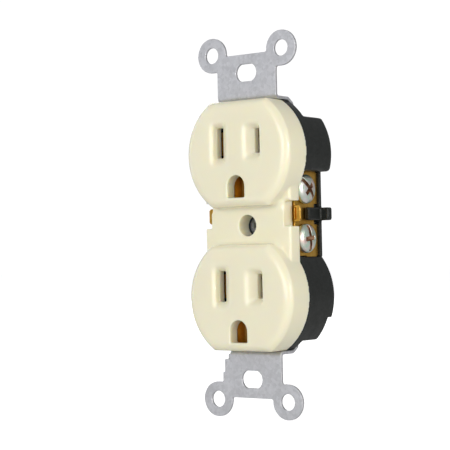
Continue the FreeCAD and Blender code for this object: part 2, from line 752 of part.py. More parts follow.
def strap_outline():
    """The strap as seen from the front: plates, ears, strip and pads."""
    back = (-1, sizes.strip_rear + 1)
    plate_end = hole_z + sizes.plate_margin
    ear_z = hole_z + sizes.ear_rise
    arm_foot = ear_z - sizes.ear_radius
    joint = strip_end - sizes.weld_run
    ends = []
    for name, sign in (("top", 1), ("bottom", -1)):
        pieces = [block(f"{name}_plate", (-sizes.plate_side, sizes.plate_side), back,
                        spread(joint, plate_end, sign)),
                  block(f"{name}_arms", (-sizes.ear_side, sizes.ear_side), back,
                        spread(arm_foot, plate_end, sign))]
        for side in (1, -1):
            tag = f"{name}_{'right' if side > 0 else 'left'}"
            x = sizes.ear_side * side
            pieces.append(rod(f"{tag}_ear", sizes.ear_radius, x, back, ear_z * sign))
            outer = spread(sizes.ear_side - sizes.ear_radius, sizes.ear_side, side)
            pieces.append(block(f"{tag}_ear_root", outer, back,
                                spread(plate_end - 1, ear_z, sign)))
        end = union(f"{name}_end", *pieces)

        def inside_corner(edge):
            point = middle(edge)
            lower = near(abs(point.x), sizes.plate_side.number) and near(
                abs(point.z), arm_foot.number)
            upper = near(abs(point.x), sizes.ear_side.number - sizes.ear_radius.number) and near(
                abs(point.z), plate_end.number)
            return runs_along((0, 1, 0))(edge) and (lower or upper)

        ends.append(rounded(f"{name}_end_round", end, sizes.ear_corner, inside_corner))
    strip = block("strip", (-sizes.strip_side, sizes.strip_side), back,
                  (-strip_end - sizes.weld_run, strip_end + sizes.weld_run))
    pads = [block(f"{name}_pad", (-sizes.pad_side, sizes.pad_side), back,
                  (z - sizes.ground_drop - sizes.pad_half, z - sizes.ground_drop + sizes.pad_half))
            for name, z in OUTLETS.items()]
    return union("strap_outline", strip, *pads, *ends)


def mounting_hole(name, z):
    """A round hole widened sideways and flattened above and below."""
    back = (-1, sizes.strap_thickness + 1)
    offset = sizes.hole_width / 2 - sizes.hole_end_radius
    half = sizes.hole_height / 2
    ends = [rod(f"{name}_left_end", sizes.hole_end_radius, -offset, back, z),
            rod(f"{name}_right_end", sizes.hole_end_radius, offset, back, z),
            block(f"{name}_middle", (-offset, offset), back,
                  (z - sizes.hole_end_radius, z + sizes.hole_end_radius))]
    band = block(f"{name}_band", (-sizes.hole_width, sizes.hole_width), back,
                 (z - half, z + half))
    return overlap(name, union(f"{name}_long", *ends), band)


def make_ground_tab():
    """The tab folded back from the lower plate's left edge, wider behind its root."""
    edge = -sizes.plate_side
    sheet_side = (edge, edge + sizes.strap_thickness)
    root_up = (tab_foot, tab_foot + sizes.tab_root_height)
    neck = block("tab_neck", sheet_side, (0, sizes.tab_root_reach + sizes.weld_run), root_up)
    tab = block("tab_sheet", sheet_side, (sizes.tab_root_reach, sizes.tab_reach),
                (tab_foot, tab_foot + sizes.tab_height))

    def end_corner(edge):
        return runs_along((1, 0, 0))(edge) and near(middle(edge).y, sizes.tab_reach.number)

    root = block("tab_root", (edge, edge + sizes.tab_relief + sizes.weld_run),
                 (0, sizes.strap_thickness), root_up)
    folded = union("tab_folded", rounded("tab_end", tab, sizes.tab_height / 4, end_corner),
                   neck, root)

    def outer_fold(edge):
        point = middle(edge)
        return near(point.x, -sizes.plate_side.number) and near(point.y, 0)

    return rounded("ground_tab", folded, sizes.bend_radius + sizes.strap_thickness,
                   outer_fold)


def make_mounting_strap():
    sheet_metal = overlap("strap_blank", make_folded_strip(), strap_outline())
    edge = -sizes.plate_side
    relief = block("tab_relief_cut", (edge - 1, edge + sizes.tab_relief),
                   (-1, sizes.strip_rear + 1), (tab_foot, -leg_inner + sizes.weld_run))
    solid = union("strap_with_tab", cut("strap_relieved", sheet_metal, relief),
                  make_ground_tab())
    holes = [cross_rod("tab_hole", sizes.ground_screw_radius + sizes.running_fit,
                       (edge - 1, edge + sizes.strap_thickness + 1),
                       ground_screw_y, tab_z)]
    for name, sign in (("top", 1), ("bottom", -1)):
        holes.append(mounting_hole(f"{name}_mounting_hole", hole_z * sign))
        for side in (1, -1):
            tag = f"{name}_{'right' if side > 0 else 'left'}"
            holes.append(rod(f"{tag}_ear_hole", sizes.ear_hole_radius, sizes.ear_side * side,
                             (-1, sizes.strap_thickness + 1),
                             (hole_z + sizes.ear_rise) * sign))
    through = (strip_front - 1, sizes.strip_rear + 1)
    holes.append(rod("eyelet_hole", sizes.eyelet_radius + sizes.running_fit, 0, through, 0))
    for name, z in OUTLETS.items():
        ground_z = z - sizes.ground_drop
        holes.append(rod(f"{name}_pin_hole", sizes.pin_hole_radius, 0, through, ground_z))
        holes.append(rod(f"{name}_tail_hole", sizes.rivet_radius + sizes.running_fit, 0,
                         through, ground_z + sizes.tail_rise))
        holes.append(rod(f"{name}_strap_hole", sizes.assembly_radius + sizes.running_fit, 0,
                         through, z + sizes.slot_rise))
    return cut("mounting_strap", solid, *holes)


# ---- brass bus bars ----

def bus_outline(low, high):
    """A terminal plate and its two arms, seen from the side, as (back, up) corners."""
    middle_half = sizes.barrier_height / 2 + sizes.neck_margin
    low_neck = sizes.terminal_rise - middle_half
    high_neck = sizes.terminal_rise + middle_half
    plate_foot = recess_foot + sizes.pocket_gap
    plate_top = recess_top - sizes.pocket_gap
    arm_front = foot_rear - sizes.arm_width
    return [(sizes.bus_front, plate_foot), (arm_front, plate_foot), (arm_front, low),
            (foot_rear, low), (foot_rear, plate_foot), (bus_rear, plate_foot),
            (bus_rear, low_neck), (sizes.bus_middle_rear, low_neck),
            (sizes.bus_middle_rear, high_neck), (bus_rear, high_neck),
            (bus_rear, plate_top), (foot_rear, plate_top), (foot_rear, high),
            (arm_front, high), (arm_front, plate_top), (sizes.bus_front, plate_top)]


def make_bus(side):
    sign = SIDES[side]
    body = new_body(f"{side}_bus")
    half = sizes.contact_height / 2
    slot_z = {name: z + sizes.slot_rise for name, z in OUTLETS.items()}
    inner = bus_inner if sign > 0 else -sizes.bus_side
    plate = add_sketch(body, "YZ_Plane", inner, f"{side}_plate_outline")
    draw_polygon(plate, bus_outline(slot_z["lower"] - half, slot_z["upper"] + half))
    pad(body, plate, sizes.brass_thickness, f"{side}_plate")
    foot_end = sizes.slot_side - sizes.contact_side
    for name, z in slot_z.items():
        foot = add_sketch(body, "XY_Plane", z - half, f"{name}_{side}_foot_outline")
        draw_polygon(foot, [(foot_end * sign, foot_front), (sizes.bus_side * sign, foot_front),
                            (sizes.bus_side * sign, foot_rear), (foot_end * sign, foot_rear)])
        pad(body, foot, half * 2, f"{name}_{side}_foot")
    thick = sizes.brass_thickness
    neck = sizes.notch_side + sizes.fin_root
    ramp_front = sizes.bus_front + sizes.fin_ramp
    fin_rear = sizes.fin_front + thick
    fin = add_sketch(body, "XY_Plane", sizes.terminal_rise - sizes.fin_height / 2,
                     f"{side}_fin_outline")
    fin_corners = [(bus_inner, ramp_front), (bus_inner, sizes.bus_front),
                   (sizes.bus_side, sizes.bus_front), (neck, sizes.fin_front),
                   (sizes.fin_side, sizes.fin_front), (sizes.fin_side, fin_rear),
                   (neck + sizes.fin_heel, fin_rear), (sizes.bus_side, ramp_front)]
    draw_polygon(fin, [(x * sign, y) for x, y in fin_corners])
    pad(body, fin, sizes.fin_height, f"{side}_fin")
    doc.recompute()
    corners = [f"Edge{index}" for index, edge in enumerate(body.Tip.Shape.Edges, start=1)
               if runs_along((0, 1, 0))(edge)
               and near(abs(middle(edge).x), sizes.fin_side.number)]
    fillet_edges(body, corners, sizes.fin_height / 5, f"{side}_fin_corners")
    holes = add_sketch(body, "YZ_Plane", sizes.bus_side * sign, f"{side}_screw_holes")
    for z in screw_heights.values():
        draw_circle(holes, sizes.screw_behind, z, sizes.screw_radius + sizes.running_fit)
    pocket(body, holes, thick, f"{side}_tapped_holes", reverse=sign < 0)
    rivets = add_sketch(body, "XZ_Plane", -foot_front, f"{side}_rivet_holes")
    for z in slot_z.values():
        draw_circle(rivets, sizes.slot_side * sign, z,
                    sizes.clip_rivet_radius + sizes.running_fit)
    pocket(body, rivets, thick, f"{side}_foot_holes")
    weak = add_sketch(body, "XZ_Plane", -sizes.fin_front, f"{side}_fin_slot")
    slot_half = sizes.fin_height / 2 - sizes.fin_web
    slot_start = neck + sizes.break_line_gap
    slot_end = slot_start + sizes.break_line
    draw_polygon(weak, [(slot_start * sign, sizes.terminal_rise - slot_half),
                        (slot_end * sign, sizes.terminal_rise - slot_half),
                        (slot_end * sign, sizes.terminal_rise + slot_half),
                        (slot_start * sign, sizes.terminal_rise + slot_half)])
    pocket(body, weak, thick, f"{side}_break_line")
    return body


# ---- spring contacts ----

def make_blade_contact(name, side):
    """A folded strip whose two leaves close on a plug's blade."""
    sign = SIDES[side]
    body = new_body(f"{name}_{side}_contact")
    thick = sizes.leaf_thickness
    root = sizes.contact_side
    throat_y = sizes.contact_throat_behind
    straight = foot_front - sizes.contact_straight
    right = [(root, foot_front), (root, straight), (sizes.contact_throat + thick, throat_y),
             (sizes.contact_mouth + thick, -sizes.contact_front),
             (sizes.contact_mouth, -sizes.contact_front), (sizes.contact_throat, throat_y),
             (root - thick, straight), (root - thick, foot_front - thick)]
    left = [(-x, y) for x, y in reversed(right)]
    slot_z = OUTLETS[name] + sizes.slot_rise
    half = sizes.contact_height / 2
    sketch = add_sketch(body, "XY_Plane", slot_z - half, f"{name}_{side}_contact_edge")
    draw_polygon(sketch, [(x + sizes.slot_side * sign, y) for x, y in right + left])
    pad(body, sketch, half * 2, f"{name}_{side}_contact_strip")
    hole = add_sketch(body, "XZ_Plane", -(foot_front - thick), f"{name}_{side}_contact_hole")
    draw_circle(hole, sizes.slot_side * sign, slot_z,
                sizes.clip_rivet_radius + sizes.running_fit)
    pocket(body, hole, thick, f"{name}_{side}_contact_rivet_hole")
    return body


def make_ground_contact(name):
    """A riveted foot with two leaves that close on a plug's ground pin."""
    body = new_body(f"{name}_ground_contact")
    thick = sizes.leaf_thickness
    z = OUTLETS[name] - sizes.ground_drop
    half = sizes.ground_leaf_height / 2
    foot_back = strip_front
    foot = add_sketch(body, "XZ_Plane", -foot_back, f"{name}_ground_foot_outline")
    low = z - half - sizes.foot_margin
    shoulder = z + half + sizes.foot_margin
    top = z + sizes.tail_rise + sizes.tail_end
    side = sizes.ground_foot_side
    draw_polygon(foot, [(-side, low), (side, low), (side, shoulder),
                        (sizes.tail_side, shoulder), (sizes.tail_side, top),
                        (-sizes.tail_side, top), (-sizes.tail_side, shoulder),
                        (-side, shoulder)])
    pad(body, foot, thick, f"{name}_ground_foot")
    pin = add_sketch(body, "XZ_Plane", -(foot_back - thick), f"{name}_ground_pin_way")
    gap = sizes.ground_leaf_side
    draw_polygon(pin, [(-gap, z - half), (gap, z - half), (gap, z + half), (-gap, z + half)])
    pocket(body, pin, thick, f"{name}_ground_pin_hole")
    tail = add_sketch(body, "XZ_Plane", -(foot_back - thick), f"{name}_ground_tail_hole")
    draw_circle(tail, 0, z + sizes.tail_rise, sizes.rivet_radius + sizes.running_fit)
    pocket(body, tail, thick, f"{name}_ground_rivet_hole")
    mouth = -sizes.ground_mouth_front
    for sign in (1, -1):
        leaf = add_sketch(body, "XY_Plane", z - half, f"{name}_ground_leaf_{sign + 1}")
        corners = [(gap, foot_back), (gap + thick, foot_back),
                   (sizes.ground_throat + thick, 0), (sizes.ground_mouth + thick, mouth),
                   (sizes.ground_mouth, mouth), (sizes.ground_throat, 0)]
        draw_polygon(leaf, [(x * sign, y) for x, y in corners])
        pad(body, leaf, half * 2, f"{name}_ground_leaf_pad_{sign + 1}")
    return body


# ---- turned pieces and fasteners ----

def screw_section(shank, length, head, height):
    """Half a pan-head screw: the head's underside lies at height 0."""
    return [(0, -length), (shank * 0.7, -length), (shank, -length + shank * 0.4), (shank, 0),
            (head, 0), (head, height * 0.45), (head * 0.84, height * 0.82),
            (head * 0.5, height), (0, height)]


def add_slot(body, width, reach, depth, top, name):
    sketch = add_sketch(body, "XY_Plane", top, f"{name}_outline")
    draw_polygon(sketch, [(-reach, -width / 2), (reach, -width / 2),
                          (reach, width / 2), (-reach, width / 2)])
    pocket(body, sketch, depth, name)


def make_terminal_screw(name, side):
    sign = SIDES[side]
    label = f"{name}_{side}_screw"
    body = turned(label, screw_section(sizes.screw_radius, sizes.screw_length,
                                       sizes.screw_head_radius, sizes.screw_head_height))
    add_slot(body, sizes.screw_radius * 0.55, sizes.screw_head_radius * 0.8,
             sizes.screw_head_height * 0.5, sizes.screw_head_height, f"{label}_slot")
    set_place(body, (sizes.bus_side + sizes.screw_gap) * sign, sizes.screw_behind,
              screw_heights[name], TO_RIGHT if sign > 0 else TO_LEFT)
    return body


def make_ground_screw():
    shank, head = sizes.ground_screw_radius, sizes.ground_head_radius
    height = sizes.ground_head_height
    flange = height * 0.3
    body = turned("ground_screw", [
        (0, -sizes.ground_screw_length), (shank * 0.7, -sizes.ground_screw_length),
        (shank, -sizes.ground_screw_length + shank * 0.4), (shank, 0),
        (sizes.ground_washer_radius, 0), (sizes.ground_washer_radius, flange),
        (head, flange), (head, height), (0, height)])
    add_slot(body, shank * 0.55, head + 0.5, height * 0.5, height, "ground_screw_slot")
    set_place(body, -sizes.plate_side - sizes.screw_gap, ground_screw_y, tab_z, TO_LEFT)
    return body


def make_rivet(label, shank, head, grip, x, y, z):
    """A rivet along Y whose front head's underside lies at y."""
    height = sizes.rivet_head_height
    body = turned(label, [(0, -grip - height), (head, -grip - height), (head, -grip),
                          (shank, -grip), (shank, 0), (head, 0), (head * 0.8, height),
                          (0, height)])
    set_place(body, x, y, z, TO_FRONT)
    return body


def make_contact_rivets():
    grip = sizes.leaf_thickness + sizes.brass_thickness
    rivets = [make_rivet(f"{name}_{side}_rivet", sizes.clip_rivet_radius,
                         sizes.clip_rivet_head, grip, sizes.slot_side * sign,
                         foot_front - sizes.leaf_thickness, z + sizes.slot_rise)
              for name, z in OUTLETS.items() for side, sign in SIDES.items()]
    return group_of("contact_rivets", rivets)


def make_ground_rivets():
    grip = sizes.leaf_thickness + sizes.strap_thickness
    rivets = [make_rivet(f"{name}_ground_rivet", sizes.rivet_radius,
                         sizes.rivet_head_radius, grip, 0,
                         strip_front - sizes.leaf_thickness,
                         z - sizes.ground_drop + sizes.tail_rise)
              for name, z in OUTLETS.items()]
    return group_of("ground_rivets", rivets)


def make_assembly_screws():
    """The two screws that clamp strap, base and cover, put in from behind."""
    screws = []
    for name, z in OUTLETS.items():
        screw = turned(f"{name}_assembly_screw",
                       screw_section(sizes.assembly_radius, sizes.assembly_length,
                                     sizes.assembly_head_radius,
                                     sizes.assembly_head_height))
        add_slot(screw, sizes.assembly_radius * 0.5, sizes.assembly_head_radius * 0.8,
                 sizes.assembly_head_height * 0.5, sizes.assembly_head_height,
                 f"{name}_assembly_slot")
        set_place(screw, 0, sizes.strip_rear, z + sizes.slot_rise,
                  FreeCAD.Rotation(FreeCAD.Vector(1, 0, 0), -90))
        screws.append(screw)
    return group_of("assembly_screws", screws)


def make_centre_eyelet():
    """The threaded tube for the wall plate's screw, flanged behind the strap."""
    front = sizes.eyelet_front
    bore, outer = sizes.eyelet_bore, sizes.eyelet_radius
    flange = sizes.strip_rear + sizes.eyelet_flange_thickness
    barrel = outer * 0.9
    body = turned("centre_eyelet", [
        (bore, -sizes.eyelet_rear), (barrel, -sizes.eyelet_rear), (barrel, -flange),
        (sizes.eyelet_flange, -flange), (sizes.eyelet_flange, -sizes.strip_rear),
        (outer, -sizes.strip_rear), (outer, -front), (bore, -front)])
    set_place(body, 0, 0, 0, TO_FRONT)
    return body


def group_of(label, pieces):
    """Identical separate solids that share one node."""
    group = doc.addObject("Part::Compound", label)
    group.Links = pieces
    return group


tab_foot = -hole_z + sizes.hole_height / 2 - sizes.tab_drop
tab_z = tab_foot + sizes.tab_height / 2
ground_screw_y = sizes.tab_reach - sizes.tab_screw_inset

nodes = [make_face_cover(), make_rear_base(), make_mounting_strap(),
         make_bus("hot"), make_bus("neutral")]
for outlet in OUTLETS:
    for side in SIDES:
        nodes.append(make_blade_contact(outlet, side))
        nodes.append(make_terminal_screw(outlet, side))
    nodes.append(make_ground_contact(outlet))
nodes += [make_contact_rivets(), make_ground_rivets(), make_centre_eyelet(),
          make_assembly_screws(), make_ground_screw()]
doc.recompute()

for item in doc.Objects:
    if "Invalid" in item.State or "Error" in item.State:
        raise RuntimeError(f"{item.Label} is {item.State}")
os.makedirs("parts", exist_ok=True)
for node in nodes:
    if node.Shape.isNull() or not node.Shape.isValid():
        raise RuntimeError(f"{node.Label} has no valid shape")
for node in nodes:
    node.Shape.exportStep(f"parts/{node.Label}.step")
    solids = len(node.Shape.Solids)
    print(f"{node.Label}: {solids} solid(s), {node.Shape.Volume:.1f} mm3")
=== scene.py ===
# %% [markdown]
# # A duplex wall outlet
# A duplex outlet is two sockets that share one moulded face, one black base and one
# steel strap. This lesson dresses its CAD frame: every metal and plastic part gets the
# soft edges, threads, recesses and finishes that the real ones have. The frame gives
# every place and size, in metres, so nothing here has to be fitted by eye.

# %% Load the frame
import json
import math

import bmesh
import bpy
import numpy as np
from mathutils import Matrix, Vector

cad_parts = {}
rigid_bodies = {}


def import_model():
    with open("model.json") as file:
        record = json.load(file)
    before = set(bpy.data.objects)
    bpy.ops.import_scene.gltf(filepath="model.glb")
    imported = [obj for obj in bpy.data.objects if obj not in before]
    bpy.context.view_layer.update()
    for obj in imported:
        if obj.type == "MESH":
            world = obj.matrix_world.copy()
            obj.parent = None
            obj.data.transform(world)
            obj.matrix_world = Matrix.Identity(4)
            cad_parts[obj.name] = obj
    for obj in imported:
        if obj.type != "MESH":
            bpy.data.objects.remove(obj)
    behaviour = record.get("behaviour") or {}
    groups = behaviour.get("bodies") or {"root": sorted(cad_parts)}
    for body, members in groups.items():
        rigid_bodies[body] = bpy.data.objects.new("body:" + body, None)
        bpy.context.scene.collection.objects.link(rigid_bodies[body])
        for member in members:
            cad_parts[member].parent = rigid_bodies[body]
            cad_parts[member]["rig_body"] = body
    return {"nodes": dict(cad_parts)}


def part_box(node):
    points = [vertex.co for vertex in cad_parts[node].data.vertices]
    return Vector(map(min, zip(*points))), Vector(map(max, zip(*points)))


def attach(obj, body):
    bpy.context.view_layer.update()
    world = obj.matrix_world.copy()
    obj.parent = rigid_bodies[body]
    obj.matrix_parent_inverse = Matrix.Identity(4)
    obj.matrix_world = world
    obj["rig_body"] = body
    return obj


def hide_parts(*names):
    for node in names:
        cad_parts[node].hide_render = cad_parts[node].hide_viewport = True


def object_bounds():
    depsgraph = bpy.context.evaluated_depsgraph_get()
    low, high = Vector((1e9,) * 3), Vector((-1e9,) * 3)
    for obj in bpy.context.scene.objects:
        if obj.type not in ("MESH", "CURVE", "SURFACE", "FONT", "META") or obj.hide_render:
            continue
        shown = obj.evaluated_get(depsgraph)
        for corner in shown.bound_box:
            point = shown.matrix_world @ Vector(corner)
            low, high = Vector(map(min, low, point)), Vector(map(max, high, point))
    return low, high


MM = 0.001
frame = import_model()
cad_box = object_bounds()
print("CAD box, mm:", [[round(v / MM, 2) for v in corner] for corner in cad_box])

# %% [markdown]
# ## Camera
# Something this small is best seen through a long lens, which keeps its straight edges
# nearly parallel. The camera stands to the right of the outlet and a touch below its
# middle. It could be placed by hand and aimed with a constraint. Here it is worked out
# from a direction, a distance and a small roll, so that each of them can be read off.

# %% Place the camera
AZIMUTH, ELEVATION, ROLL = math.radians(37.09), math.radians(-1.41), math.radians(-1.13)
DISTANCE, AIM_RIGHT, AIM_UP = 390.9 * MM, -6.48 * MM, 0.31 * MM
LENS_MM, SENSOR_MM, NEAR_CLIP = 115.3, 36, 0.01

back = Vector((math.sin(AZIMUTH) * math.cos(ELEVATION),
               -math.cos(AZIMUTH) * math.cos(ELEVATION), math.sin(ELEVATION)))
level_right = Vector((math.cos(AZIMUTH), math.sin(AZIMUTH), 0))
level_up = back.cross(level_right)
right = level_right * math.cos(ROLL) + level_up * math.sin(ROLL)
up = level_up * math.cos(ROLL) - level_right * math.sin(ROLL)
camera_data = bpy.data.cameras.new("camera")
camera_data.lens = LENS_MM
camera_data.sensor_width = SENSOR_MM
camera_data.clip_start = NEAR_CLIP
camera = bpy.data.objects.new("camera", camera_data)
bpy.context.scene.collection.objects.link(camera)
turn = Matrix((right, up, back)).transposed().to_4x4()
spot = back * DISTANCE + level_right * AIM_RIGHT + level_up * AIM_UP
camera.matrix_world = Matrix.Translation(spot) @ turn
bpy.context.scene.camera = camera
bpy.context.scene.view_settings.view_transform = "Standard"
print("camera, mm:", [round(v / MM, 1) for v in spot])

# %% [markdown]
# ## Starting a material
# A procedural material is a small tree of nodes. It could be built by hand in the shader
# editor, but a few helpers make every finish the same way and keep each one short. The
# first helper adds a node and fills its sockets. The second starts a material and hands
# back the place on the object, so that a pattern stays on the part from every side.

# %% Start a material
def add_node(tree, kind, inputs=(), **settings):
    made = tree.nodes.new(kind)
    for name, value in settings.items():
        setattr(made, name, value)
    for name, value in inputs:
        if isinstance(value, bpy.types.NodeSocket):
            tree.links.new(value, made.inputs[name])
        else:
            made.inputs[name].default_value = value
    return made


def start_material(name, **sockets):
    """A new material, its tree, its shader and the object-space place socket."""
    material = bpy.data.materials.new(name)
    material.use_nodes = True
    tree = material.node_tree
    shader = tree.nodes["Principled BSDF"]
    for socket, value in sockets.items():
        shader.inputs[socket.replace("_", " ")].default_value = value
    place = tree.nodes.new("ShaderNodeTexCoord").outputs["Object"]
    return material, tree, shader, place


# %% [markdown]
# ## Patterns, ramps and bumps
# No real stock is the same all over. Noise gives the variation, one ramp turns it into a
# number and another into a colour, and a bump turns it into fine relief. An image could
# do the same, but it would need unwrapping and would blur close up.

# %% Patterns, ramps and bumps
def noise(tree, place, per_metre, detail=3.0, roughness=0.5):
    return add_node(tree, "ShaderNodeTexNoise",
                    [("Vector", place), ("Scale", per_metre), ("Detail", detail),
                     ("Roughness", roughness)]).outputs["Fac"]


def between(tree, factor, low, high, from_low=0.3, from_high=0.7):
    """A number that follows the factor from low to high."""
    return add_node(tree, "ShaderNodeMapRange",
                    [("Value", factor), ("From Min", from_low), ("From Max", from_high),
                     ("To Min", low), ("To Max", high)]).outputs["Result"]


def tinted(tree, factor, stops):
    """A colour that follows the factor through (position, colour) stops."""
    ramp = tree.nodes.new("ShaderNodeValToRGB")
    tree.links.new(factor, ramp.inputs["Fac"])
    for position, _ in stops[len(ramp.color_ramp.elements):]:
        ramp.color_ramp.elements.new(position)
    for element, (position, colour) in zip(ramp.color_ramp.elements, stops):
        element.position = position
        element.color = (*colour, 1)
    return ramp.outputs["Color"]


def bump(tree, height, strength, depth, below=None):
    inputs = [("Height", height), ("Strength", strength), ("Distance", depth)]
    if below is not None:
        inputs.append(("Normal", below))
    return add_node(tree, "ShaderNodeBump", inputs).outputs["Normal"]


def report(material):
    print(material.name, "has", len(material.node_tree.nodes), "nodes")


# %% [markdown]
# ## Ivory plastic
# The face is moulded in a glossy thermoplastic. Its gloss is even, but not perfect: the
# flow of the melt leaves a faint cloudiness, and the mould's polish a fine ripple. Light
# also travels inside the plastic. Plain white paint would leave the slots too dark, so
# half of the surface's light goes through subsurface scattering, which fills them.

# %% Ivory plastic
ivory_plastic, tree, shader, place = start_material(
    "ivory_plastic", IOR=1.5, Subsurface_Weight=0.55, Subsurface_Scale=0.0016,
    Subsurface_Radius=(1.0, 0.8, 0.45))
cloud = noise(tree, place, 60, detail=1)
tree.links.new(tinted(tree, cloud, [(0.3, (0.910, 0.862, 0.665)),
                                    (0.7, (0.925, 0.878, 0.685))]),
               shader.inputs["Base Color"])
tree.links.new(between(tree, noise(tree, place, 500), 0.10, 0.14), shader.inputs["Roughness"])
ripple = bump(tree, noise(tree, place, 260, detail=0), 0.05, 0.00003)
tree.links.new(bump(tree, noise(tree, place, 5200), 0.04, 0.00001, ripple),
               shader.inputs["Normal"])
report(ivory_plastic)

# %% [markdown]
# ## Black plastic
# The base is a filled thermoset, pressed in a plainer tool than the face. It is a near
# black with a satin surface, a fine pebble, and paler dust where the filler shows. Pure
# black would hide its shape, so the colour stays a little above it and the roughness
# varies, which lets the lights draw the sides.

# %% Black plastic
black_plastic, tree, shader, place = start_material(
    "black_plastic", IOR=1.5, Specular_IOR_Level=0.32)
filler = noise(tree, place, 1500, detail=4)
tree.links.new(tinted(tree, filler, [(0.35, (0.010, 0.012, 0.011)),
                                     (0.72, (0.019, 0.021, 0.020))]),
               shader.inputs["Base Color"])
tree.links.new(between(tree, noise(tree, place, 400), 0.36, 0.50), shader.inputs["Roughness"])
pebble = bump(tree, noise(tree, place, 3600, detail=2), 0.22, 0.00004)
tree.links.new(bump(tree, noise(tree, place, 260, detail=1), 0.12, 0.00006, pebble),
               shader.inputs["Normal"])
report(black_plastic)

# %% [markdown]
# ## Galvanised steel
# The strap is punched from zinc-coated sheet. Zinc dulls to a bluish grey with small
# crystals, a fine grain, and a few rubs from handling. Noise alone looks like cloth, so
# the crystals come from a cell pattern, and the grain is added to it before the colour.

# %% Galvanised steel
zinc_steel, tree, shader, place = start_material("zinc_steel", Metallic=1.0)
crystals = add_node(tree, "ShaderNodeTexVoronoi", [("Vector", place), ("Scale", 1300.0)]
                    ).outputs["Color"]
crystal_tone = add_node(tree, "ShaderNodeSeparateColor", [("Color", crystals)]).outputs["Red"]
grain = noise(tree, place, 2600, detail=5, roughness=0.7)
rub = noise(tree, place, 160, detail=3)
total = add_node(tree, "ShaderNodeMath", [(0, crystal_tone), (1, grain)], operation="ADD")
average = add_node(tree, "ShaderNodeMath", [(0, total.outputs[0]), (1, 0.5)],
                   operation="MULTIPLY").outputs[0]
tree.links.new(tinted(tree, average, [(0.2, (0.61, 0.615, 0.645)), (0.8, (0.73, 0.735, 0.77))]),
               shader.inputs["Base Color"])
tree.links.new(between(tree, rub, 0.46, 0.60), shader.inputs["Roughness"])
tree.links.new(bump(tree, grain, 0.25, 0.00002), shader.inputs["Normal"])
report(zinc_steel)

# %% [markdown]
# ## Brass
# The bus bars and contacts are stamped from rolled brass strip. Fine roller lines run
# along the strip, and the colour wanders between yellow and orange as it tarnishes. The
# lines are noise that is squeezed on two axes, which stretches it along the third.

# %% Brass
LINE_SCALE = (9000, 9000, 500)


def stretched(tree, place, factors):
    """The same place, scaled along each axis, for grain that runs one way."""
    return add_node(tree, "ShaderNodeMapping", [("Vector", place), ("Scale", factors)]
                    ).outputs["Vector"]


brass, tree, shader, place = start_material("brass", Metallic=1.0)
tarnish = noise(tree, place, 320, detail=4)
tree.links.new(tinted(tree, tarnish, [(0.32, (0.62, 0.325, 0.050)),
                                      (0.7, (0.80, 0.475, 0.100))]),
               shader.inputs["Base Color"])
lines = noise(tree, stretched(tree, place, LINE_SCALE), 1.0, detail=2)
tree.links.new(between(tree, lines, 0.26, 0.40), shader.inputs["Roughness"])
tree.links.new(bump(tree, lines, 0.18, 0.00002), shader.inputs["Normal"])
report(brass)

# %% [markdown]
# ## Plated screws
# The terminal screws are zinc plated and passivated in a thin clear film. The film
# breaks white light into weak greens and pinks that follow its thickness. A thin-film
# shader could work them out. A ramp over slow noise is lighter, and it puts the tints
# where they are wanted. The recess gets a material of its own, a dull dark brown that is
# painted shade, darkening it.

# %% Plated screws
plated_screw, tree, shader, place = start_material("plated_screw", Metallic=1.0)
film = noise(tree, place, 380, detail=1)
tree.links.new(tinted(tree, film, [(0.30, (0.86, 0.66, 0.62)), (0.42, (0.86, 0.83, 0.76)),
                                   (0.55, (0.66, 0.84, 0.71)), (0.70, (0.86, 0.84, 0.82))]),
               shader.inputs["Base Color"])
tree.links.new(between(tree, noise(tree, place, 1500), 0.36, 0.46), shader.inputs["Roughness"])
tree.links.new(bump(tree, noise(tree, place, 3000), 0.12, 0.00003), shader.inputs["Normal"])
report(plated_screw)

# Painted shade: the recess is painted a dark, dull brown, which darkens it.
recess_painted_shade, tree, shader, place = start_material("recess_painted_shade", Metallic=0.85)
recess_shade_noise = noise(tree, place, 1600, detail=3)
tree.links.new(tinted(tree, recess_shade_noise, [(0.3, (0.20, 0.105, 0.060)), (0.7, (0.42, 0.25, 0.16))]),
               shader.inputs["Base Color"])
tree.links.new(between(tree, recess_shade_noise, 0.40, 0.55), shader.inputs["Roughness"])
tree.links.new(bump(tree, noise(tree, place, 3500), 0.25, 0.00004), shader.inputs["Normal"])
report(recess_painted_shade)

# %% [markdown]
# ## Green screw and dark steel
# The ground screw is dyed green so that nobody mistakes it. The dye is thin, so the
# metal still shines through it: a metallic shader with a green colour, not a paint. The
# centre eyelet and the assembly screws are plain steel, darkened unevenly by oil.

# %% Green screw and dark steel
green_screw, tree, shader, place = start_material("green_screw", Metallic=0.9)
dye = noise(tree, place, 700, detail=3)
tree.links.new(tinted(tree, dye, [(0.3, (0.030, 0.21, 0.070)), (0.7, (0.065, 0.34, 0.12))]),
               shader.inputs["Base Color"])
tree.links.new(between(tree, dye, 0.26, 0.38), shader.inputs["Roughness"])
tree.links.new(bump(tree, noise(tree, place, 3000), 0.15, 0.00003), shader.inputs["Normal"])
report(green_screw)

dark_steel, tree, shader, place = start_material("dark_steel", Metallic=1.0)
oil = noise(tree, place, 900, detail=4)
tree.links.new(tinted(tree, oil, [(0.3, (0.17, 0.18, 0.21)), (0.7, (0.34, 0.35, 0.39))]),
               shader.inputs["Base Color"])
tree.links.new(between(tree, oil, 0.18, 0.32), shader.inputs["Roughness"])
tree.links.new(bump(tree, noise(tree, place, 2600), 0.15, 0.00003), shader.inputs["Normal"])
report(dark_steel)

# %% [markdown]
# ## Pieces that stand for CAD parts
# Each piece takes the place of one CAD part and rides on that part's body, so it moves
# when the body does. Modifiers do the shaping. They could stay live, but a piece whose
# modifiers are applied at once can be measured, carved and softened in turn.

